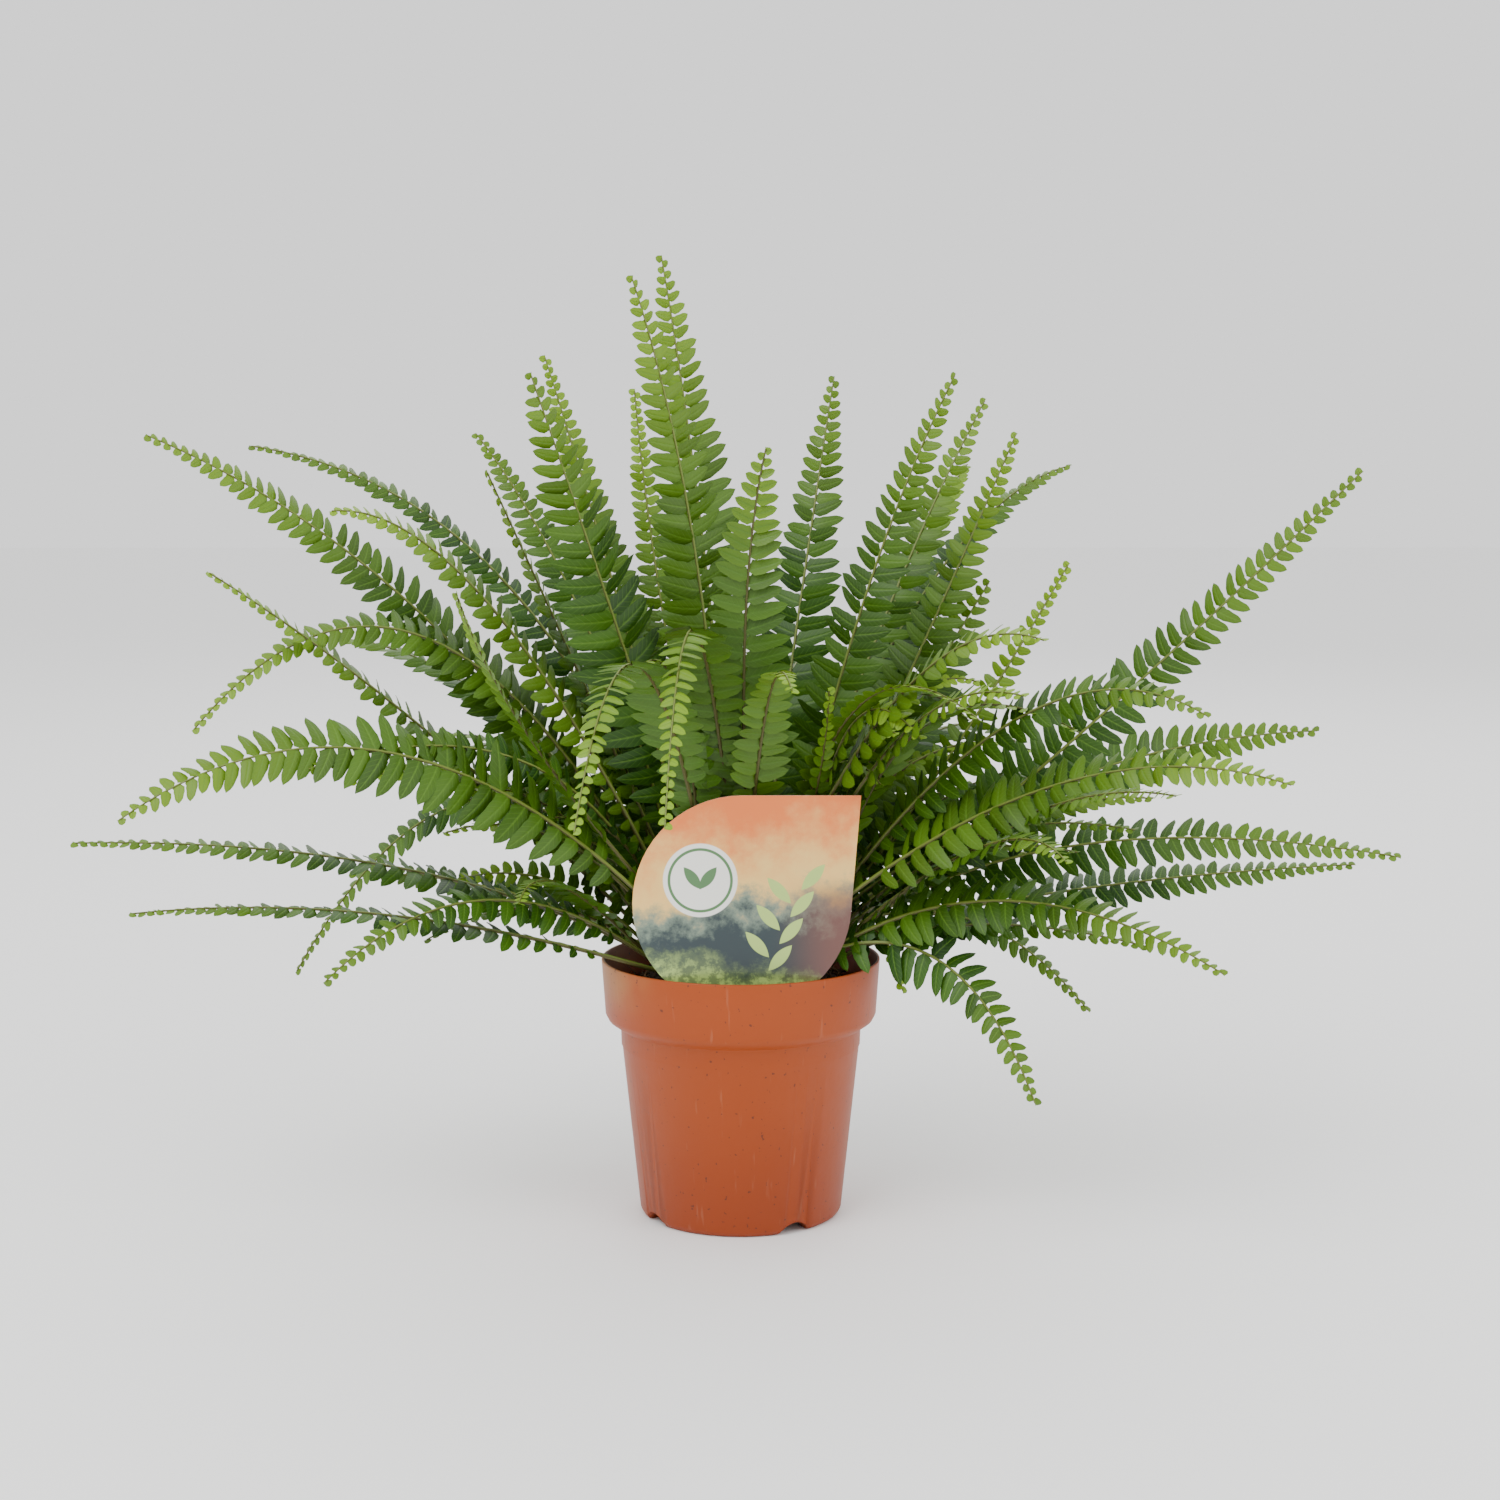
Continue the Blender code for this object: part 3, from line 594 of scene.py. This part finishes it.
def label_sprig(card, look, right, height, ground):
    """Seven plain leaves, left and right in turn, up a slanting line."""
    for n in range(7):
        lean = -1.0 if n % 2 else 1.0
        middle = (0.22 + 0.05 * n + lean * 0.13, -0.52 + 0.125 * n + 0.02)
        leaf = printed_leaf(right, height, middle, 48 if lean > 0 else 132, 0.16, 0.055)
        ground = card.mix(leaf, ground, look.pale_green)
    return ground


def label_disc(card, look, right, height, ground):
    """A white disc with a green ring and a sprout of two leaves."""
    away = ((right + 0.38) ** 2 + (height - 0.22) ** 2) ** 0.5
    ground = card.mix(away.step(0.345, 0.335), ground, look.disc_white)
    ground = card.mix((away - 0.285).size().step(0.016, 0.010), ground, look.disc_green)
    for lean in (-1.0, 1.0):
        leaf = printed_leaf(right, height, (-0.38 + 0.07 * lean, 0.24), 90 - 38 * lean, 0.13, 0.05)
        ground = card.mix(leaf, ground, look.disc_green)
    return ground


def label_finish(look):
    """Printed card with a pale cut edge. The print is laid out in radii of the card, from its middle."""
    card = Finish("label_print", 0.34, Coat_Weight=0.15)
    low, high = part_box("plant_label")
    x, depth, z = card.axes()
    right = (x - look.card_middle[0]) / look.card_radius
    height = (z - look.card_middle[1]) / look.card_radius
    ground = label_bands(card, look, right, height)
    ground = label_sprig(card, look, right, height, ground)
    ground = label_disc(card, look, right, height, ground)
    cut_edge = (depth - (low[1] + high[1]) / 2).size().step(0.00030, 0.00036)
    card.link(card.mix(cut_edge, look.card_white, ground), "Base Color")
    card.bump(card.noise(900.0, 2.0), 0.08, 0.0002)
    return card.data


def tint(name, description, value):
    """A colour property of the look."""
    return bpy.props.FloatVectorProperty(
        name=name, description=description, subtype="COLOR", size=3, min=0, max=1, default=value)


class FernLook(bpy.types.PropertyGroup):
    """Sizes and colours that a user would change."""

    leaf_dark: tint("Old leaf", "Darkest green of a grown leaflet", (0.006, 0.036, 0.0010))
    leaf_green: tint("Leaf", "Green of a grown leaflet", (0.030, 0.120, 0.0015))
    leaf_tip: tint("Young leaf", "Yellow-green of tips and young fronds", (0.250, 0.430, 0.008))
    leaf_rib: tint("Midrib", "Midrib and side veins", (0.120, 0.260, 0.020))
    leaf_under: tint("Underside", "Lower side of a leaflet", (0.036, 0.115, 0.006))
    # The stalk's two colours are painted light on its upper side and painted shade on its lower side
    stalk_lit_green: tint("Stalk light", "Upper side of a stalk", (0.170, 0.230, 0.030))
    stalk_shaded_brown: tint("Stalk dark", "Lower side of a stalk", (0.090, 0.085, 0.018))
    pot_colour: tint("Pot", "Moulded plastic", (0.320, 0.052, 0.005))
    # Painted shade that darkens the plastic towards the base
    pot_shaded_low: tint("Pot, low", "The plastic near the base", (0.215, 0.028, 0.003))
    # Rim dust, with a painted sheen on the left of the rim
    rim_dust_and_sheen: tint("Dust", "Dust on the rim", (0.420, 0.220, 0.070))
    peat_dark: tint("Wet peat", "Darkest peat", (0.008, 0.005, 0.003))
    peat_brown: tint("Peat", "Brown peat", (0.060, 0.030, 0.014))
    fibre: tint("Fibre", "Dry roots and crumbs", (0.200, 0.110, 0.045))
    peach: tint("Print peach", "Top of the label", (0.780, 0.170, 0.020))
    cream: tint("Print cream", "Upper part of the label", (0.820, 0.520, 0.150))
    sage: tint("Print sage", "Middle of the label", (0.170, 0.230, 0.170))
    teal: tint("Print teal", "Dark band of the label", (0.014, 0.030, 0.035))
    dusk: tint("Print dusk", "Brown at the label's right", (0.150, 0.050, 0.035))
    pale_green: tint("Print leaf", "Printed leaves", (0.400, 0.560, 0.140))
    disc_white: tint("Disc", "Plain disc on the label", (0.800, 0.800, 0.740))
    disc_green: tint("Disc ring", "Ring and sprout on the disc", (0.070, 0.180, 0.060))
    card_white: tint("Card edge", "Cut edge of the card", (0.780, 0.760, 0.680))
    floor_colour: tint("Floor", "Studio floor", (0.950, 0.950, 0.945))
    card_middle: bpy.props.FloatVectorProperty(
        name="Card middle", description="Middle of the round card, across and up",
        size=2, subtype="XYZ", unit="LENGTH", default=(0.0005, 0.1433))
    card_radius: bpy.props.FloatProperty(
        name="Card radius", description="Radius of the round card", unit="LENGTH", default=0.0452)
    inner_count: bpy.props.IntProperty(
        name="Inner fronds", description="Short fronds that fill the middle", default=84, min=0, max=120)
    camera_place: bpy.props.FloatVectorProperty(
        name="Camera", description="Where the camera stands", subtype="XYZ", unit="LENGTH",
        default=(0.0, -1.13, 0.342))
    camera_aim: bpy.props.FloatVectorProperty(
        name="Aim", description="What the camera looks at", subtype="XYZ", unit="LENGTH",
        default=(0.004, 0.0, 0.2015))
    camera_lens: bpy.props.FloatProperty(
        name="Lens", description="Focal length", unit="CAMERA", default=63.96)


class FERN_OT_fronds(bpy.types.Operator):
    """Grow every frond of the frame as stalk and leaflets"""

    bl_idname = "fern.fronds"
    bl_label = "Fronds"

    def execute(self, context):
        finish = leaf_finish(context.scene.fern_look)
        for k, (foot, row) in enumerate(zip(frond_feet(), FRONDS)):
            tip, shoulder, half_width, face, _, youth = row
            ends = (foot, np.array(shoulder) * CM, np.array(tip) * CM)
            points, faces, numbers = frond_arrays(100 + k, *ends, half_width * CM, face, youth)
            name = f"frond_{k + 1:02d}"
            piece = mesh_piece(f"{name}_leaf", points, faces, numbers, finish)
            settle(piece, "foliage", name)
        return {"FINISHED"}


def clear_of_card(foot, shoulder, tip, half_width):
    """Whether a frond's blade keeps away from the plant label."""
    x, y, z = bezier(foot, shoulder, tip, np.linspace(0, 1, 40))[0].T
    low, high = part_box("plant_label")
    near = (y > low[1] - half_width) & (y < high[1] + half_width * 0.7)
    near &= (x > low[0] - half_width) & (x < high[0] + half_width) & (z < high[2] + half_width * 0.6)
    return not near[8:].any()


class FERN_OT_inner_fronds(bpy.types.Operator):
    """Fill the middle of the plant with short fronds"""

    bl_idname = "fern.inner_fronds"
    bl_label = "Inner fronds"

    def execute(self, context):
        look = context.scene.fern_look
        finish = bpy.data.materials["fern_leaf"]
        rng = np.random.default_rng(7)
        for batch in range(INNER_BATCHES):
            parts = []
            for n in range(batch, look.inner_count, INNER_BATCHES):
                heading = n * math.radians(GOLDEN_ANGLE)
                root = 0.006 + 0.028 * math.sqrt((n + 0.5) / look.inner_count)
                steep = rng.uniform(0.25, 1.0)
                way = np.array([math.cos(heading), math.sin(heading), 0.0])
                foot = way * root + np.array([0, 0, SOIL_TOP + 0.004])
                reach = rng.uniform(0.05, 0.17) * (1.15 - 0.5 * steep)
                front = way[1] < -0.35
                rise = rng.uniform(0.04, 0.13) * (0.6 + 0.6 * steep) + (0.02 if front else 0.0)
                shoulder = foot + way * reach * (0.25 if front else 0.45) + np.array([0, 0, rise * 1.1])
                tip = foot + way * reach + np.array([0, 0, rise * rng.uniform(0.75, 1.0)])
                face = rng.uniform(-20, 60)
                youth = float(rng.uniform(0, 1) ** 1.6)
                half_width = rng.uniform(0.010, 0.018)
                if clear_of_card(foot, shoulder, tip, half_width):
                    parts.append(frond_arrays(500 + n, foot, shoulder, tip, half_width, face, youth))
            if parts:
                piece = mesh_piece(f"inner_fronds_{batch + 1}", *join(parts), finish=finish)
                settle(piece, "foliage")
        return {"FINISHED"}


def lumps(points, scale, seed):
    """Smooth lumps: the mean of sines of the position along eight seeded directions."""
    rng = np.random.default_rng(seed)
    ways = rng.normal(size=(8, 3)) * scale
    return np.sin(points @ ways.T + rng.uniform(0, 6.28, 8)).mean(axis=1)


class FERN_OT_pot(bpy.types.Operator):
    """Weld the pot's moulded wall, shade it smooth and give it its plastic"""

    bl_idname = "fern.pot"
    bl_label = "Pot"

    def execute(self, context):
        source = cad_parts["pot"].data.copy()
        source.materials.clear()
        source.materials.append(pot_finish(context.scene.fern_look))
        pot = bpy.data.objects.new("pot_moulded", source)
        bpy.context.scene.collection.objects.link(pot)
        weld = pot.modifiers.new("weld", "WELD")
        weld.merge_threshold = 0.00001
        context.view_layer.update()
        mesh = bpy.data.meshes.new_from_object(pot.evaluated_get(context.evaluated_depsgraph_get()))
        pot.modifiers.clear()
        pot.data = mesh
        mesh.shade_smooth()
        mesh.set_sharp_from_angle(angle=math.radians(32))
        settle(pot, "pot_plastic", "pot")
        return {"FINISHED"}


def peat_height(radius):
    """Height of the peat at a radius: level, then a straight slope down to the shelf."""
    share = np.clip((radius - PEAT_LEVEL_RADIUS) / PEAT_SLOPE_WIDTH, 0, 1)
    return SOIL_TOP - (SOIL_TOP - PEAT_SHELF_HEIGHT) * share


class FERN_OT_soil(bpy.types.Operator):
    """Heap the peat, with its root threads"""

    bl_idname = "fern.soil"
    bl_label = "Peat"

    def execute(self, context):
        look = context.scene.fern_look
        rings, sides = 44, 160
        turn = np.linspace(0, 2 * np.pi, sides, endpoint=False)[None, :]
        part = np.linspace(0.02, 1, rings)[:, None]
        radius = part * PEAT_RADIUS * np.ones_like(turn)
        ground = [radius * np.cos(turn), radius * np.sin(turn), peat_height(radius)]
        top = np.stack(ground, axis=-1).reshape(-1, 3)
        rough = lumps(top, 260, 3) * 0.0016 + lumps(top, 900, 4) * 0.0010 + lumps(top, 2400, 5) * 0.0006
        top[:, 2] += rough * np.repeat(np.clip((1.02 - part[:, 0]) * 12, 0, 1), sides)
        down = []
        foot_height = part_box("soil")[0][2]
        for wide, height in ((PEAT_CONE_RADIUS, PEAT_CONE_HEIGHT), (PEAT_FOOT_RADIUS, foot_height)):
            ring = [wide * np.cos(turn[0]), wide * np.sin(turn[0]), np.full(sides, height)]
            down.append(np.stack(ring, axis=-1))
        points = np.concatenate([top, *down])
        faces = [tuple(f) for f in ring_faces(rings + 2, sides)[:, ::-1]]
        faces.append(tuple(range(sides)))
        faces.append(tuple(range(len(points) - 1, len(points) - 1 - sides, -1)))
        faces = [f[::-1] for f in faces]
        settle(mesh_piece("peat", points, faces, finish=peat_finish(look)), "peat", "soil")
        self.root_threads(look)
        return {"FINISHED"}

    def root_threads(self, look):
        """Bent threads on the peat near the wall, with seeded places and headings.

        A thread at s from -0.5 to 0.5 lies at place + s length (cos a, sin a), where a = heading + bend s. It
        rises along its length. Its four-sided section is thinnest at the ends, which are open.
        """
        rng = np.random.default_rng(11)
        count, rings, sides = THREAD_COUNT, 6, 4
        radius = 0.040 + (PEAT_RADIUS - 0.0435) * rng.uniform(0, 1, count)
        place = rng.uniform(0, 2 * np.pi, count)
        length = rng.uniform(0.004, 0.016, count)
        heading = rng.uniform(0, 2 * np.pi, count)
        bend = rng.uniform(-1.6, 1.6, count)
        rise = rng.uniform(0.0, 0.35, count)
        s = np.linspace(-0.5, 0.5, rings)[None, :]
        angle = heading[:, None] + bend[:, None] * s
        x = radius[:, None] * np.cos(place)[:, None] + length[:, None] * s * np.cos(angle)
        y = radius[:, None] * np.sin(place)[:, None] + length[:, None] * s * np.sin(angle)
        out = np.hypot(x, y)
        shrink = np.minimum(1, (PEAT_RADIUS + 0.0002) / out)
        x, y, out = x * shrink, y * shrink, out * shrink
        z = peat_height(out) + 0.0009 + rise[:, None] * length[:, None] * (s + 0.5)
        spine = np.stack([x, y, z], axis=-1)
        thick = rng.uniform(0.00015, 0.00050, count)[:, None] * (1 - 0.7 * (2 * np.abs(s)) ** 2)
        turn = np.linspace(0, 2 * np.pi, sides, endpoint=False)
        side = np.stack([-np.sin(angle), np.cos(angle), np.zeros_like(angle)], axis=-1)
        ring = side[:, :, None, :] * np.cos(turn)[None, None, :, None]
        ring = ring + np.array([0, 0, 1.0]) * np.sin(turn)[None, None, :, None]
        points = (spine[:, :, None, :] + ring * thick[:, :, None, None]).reshape(-1, 3)
        quads = ring_faces(rings, sides)
        quads = (quads[None] + (np.arange(count) * rings * sides)[:, None, None]).reshape(-1, 4)
        settle(mesh_piece("peat_fibres", points, quads, finish=fibre_finish(look)), "peat")


class FERN_OT_crown(bpy.types.Operator):
    """Shape the rootstock: half an ellipsoid with lumps"""

    bl_idname = "fern.crown"
    bl_label = "Rootstock"

    def execute(self, context):
        rings, sides = 30, 96
        tilt = np.linspace(0.03, np.pi / 2, rings)[:, None]
        turn = np.linspace(0, 2 * np.pi, sides, endpoint=False)[None, :]
        x = CROWN_RADIUS * np.sin(tilt) * np.cos(turn)
        y = CROWN_RADIUS * np.sin(tilt) * np.sin(turn)
        z = SOIL_TOP + CROWN_HEIGHT * np.cos(tilt) * np.ones_like(turn)
        points = np.stack([x, y, z], axis=-1).reshape(-1, 3)
        points[:, 2] += lumps(points, 700, 8) * 0.0012
        faces = [tuple(f) for f in ring_faces(rings, sides)]
        faces.append(tuple(range(sides))[::-1])
        faces.append(tuple(range(len(points) - sides, len(points))))
        finish = peat_finish(context.scene.fern_look, "rootstock_scales")
        settle(mesh_piece("rootstock", points, faces, finish=finish), "rootstock", "crown")
        return {"FINISHED"}


class FERN_OT_label(bpy.types.Operator):
    """Print the plant label's card"""

    bl_idname = "fern.label"
    bl_label = "Plant label"

    def execute(self, context):
        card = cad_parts["plant_label"]
        finish = label_finish(context.scene.fern_look)
        card.data.materials.clear()
        card.data.materials.append(finish)
        return {"FINISHED"}


class FERN_OT_stage(bpy.types.Operator):
    """Set the floor, the soft lights and the camera"""

    bl_idname = "fern.stage"
    bl_label = "Studio"

    def execute(self, context):
        look = context.scene.fern_look
        floor_finish = Finish("studio_floor", 0.7, Specular_IOR_Level=0.2)
        floor_finish.shader.inputs["Base Color"].default_value = (*look.floor_colour, 1.0)
        half = 6.0
        corners = [(-half, -half, 0.0), (half, -half, 0.0), (half, half, 0.0), (-half, half, 0.0)]
        floor = mesh_piece("studio_floor", corners, [(0, 1, 2, 3)], finish=floor_finish.data, smooth=False)
        world = bpy.data.worlds.new("studio")
        world.use_nodes = True
        world.node_tree.nodes["Background"].inputs["Color"].default_value = (1.0, 1.0, 1.0, 1.0)
        world.node_tree.nodes["Background"].inputs["Strength"].default_value = 1.3
        context.scene.world = world
        for name, place, power, size in (
            ("key_light", (-0.9, -1.2, 1.7), 26.0, 1.2),
            ("fill_light", (1.3, -0.9, 1.0), 9.0, 1.4),
            ("back_light", (0.3, 1.6, 1.6), 14.0, 1.4),
        ):
            lamp = bpy.data.lights.new(name, "AREA")
            lamp.energy = power
            lamp.size = size
            holder = bpy.data.objects.new(name, lamp)
            context.scene.collection.objects.link(holder)
            holder.location = place
            aim_at(holder, (0.0, 0.0, 0.2))
        camera = bpy.data.objects.new("camera", bpy.data.cameras.new("camera"))
        camera.data.lens = look.camera_lens
        camera.data.sensor_width = 36.0
        camera.location = look.camera_place
        aim_at(camera, look.camera_aim)
        context.scene.collection.objects.link(camera)
        context.scene.camera = camera
        return {"FINISHED"}


def aim_at(item, point):
    """Turn an object so that it looks at a point, its top up."""
    way = Vector(point) - Vector(item.location)
    item.rotation_euler = way.to_track_quat("-Z", "Y").to_euler()


class FERN_PT_panel(bpy.types.Panel):
    """Lists the look's values and the steps that build the fern"""

    bl_idname = "FERN_PT_panel"
    bl_label = "Potted Sword Fern"
    bl_space_type = "VIEW_3D"
    bl_region_type = "UI"
    bl_category = "Fern"

    def draw(self, context):
        for step in STEPS:
            self.layout.operator(step.bl_idname)
        for key in FernLook.__annotations__:
            self.layout.prop(context.scene.fern_look, key)


STEPS = (
    FERN_OT_stage,
    FERN_OT_pot,
    FERN_OT_soil,
    FERN_OT_crown,
    FERN_OT_label,
    FERN_OT_fronds,
    FERN_OT_inner_fronds,
)


def register():
    """Add the classes to Blender and the look to each scene."""
    for kind in (FernLook, *STEPS, FERN_PT_panel):
        bpy.utils.register_class(kind)
    bpy.types.Scene.fern_look = bpy.props.PointerProperty(type=FernLook)


def unregister():
    """Take away what register added."""
    del bpy.types.Scene.fern_look
    for kind in reversed((FernLook, *STEPS, FERN_PT_panel)):
        bpy.utils.unregister_class(kind)


def main():
    """Register the add-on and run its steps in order."""
    register()
    bpy.ops.fern.stage()
    bpy.ops.fern.pot()
    bpy.ops.fern.soil()
    bpy.ops.fern.crown()
    bpy.ops.fern.label()
    bpy.ops.fern.fronds()
    bpy.ops.fern.inner_fronds()


if __name__ == "__main__":
    main()
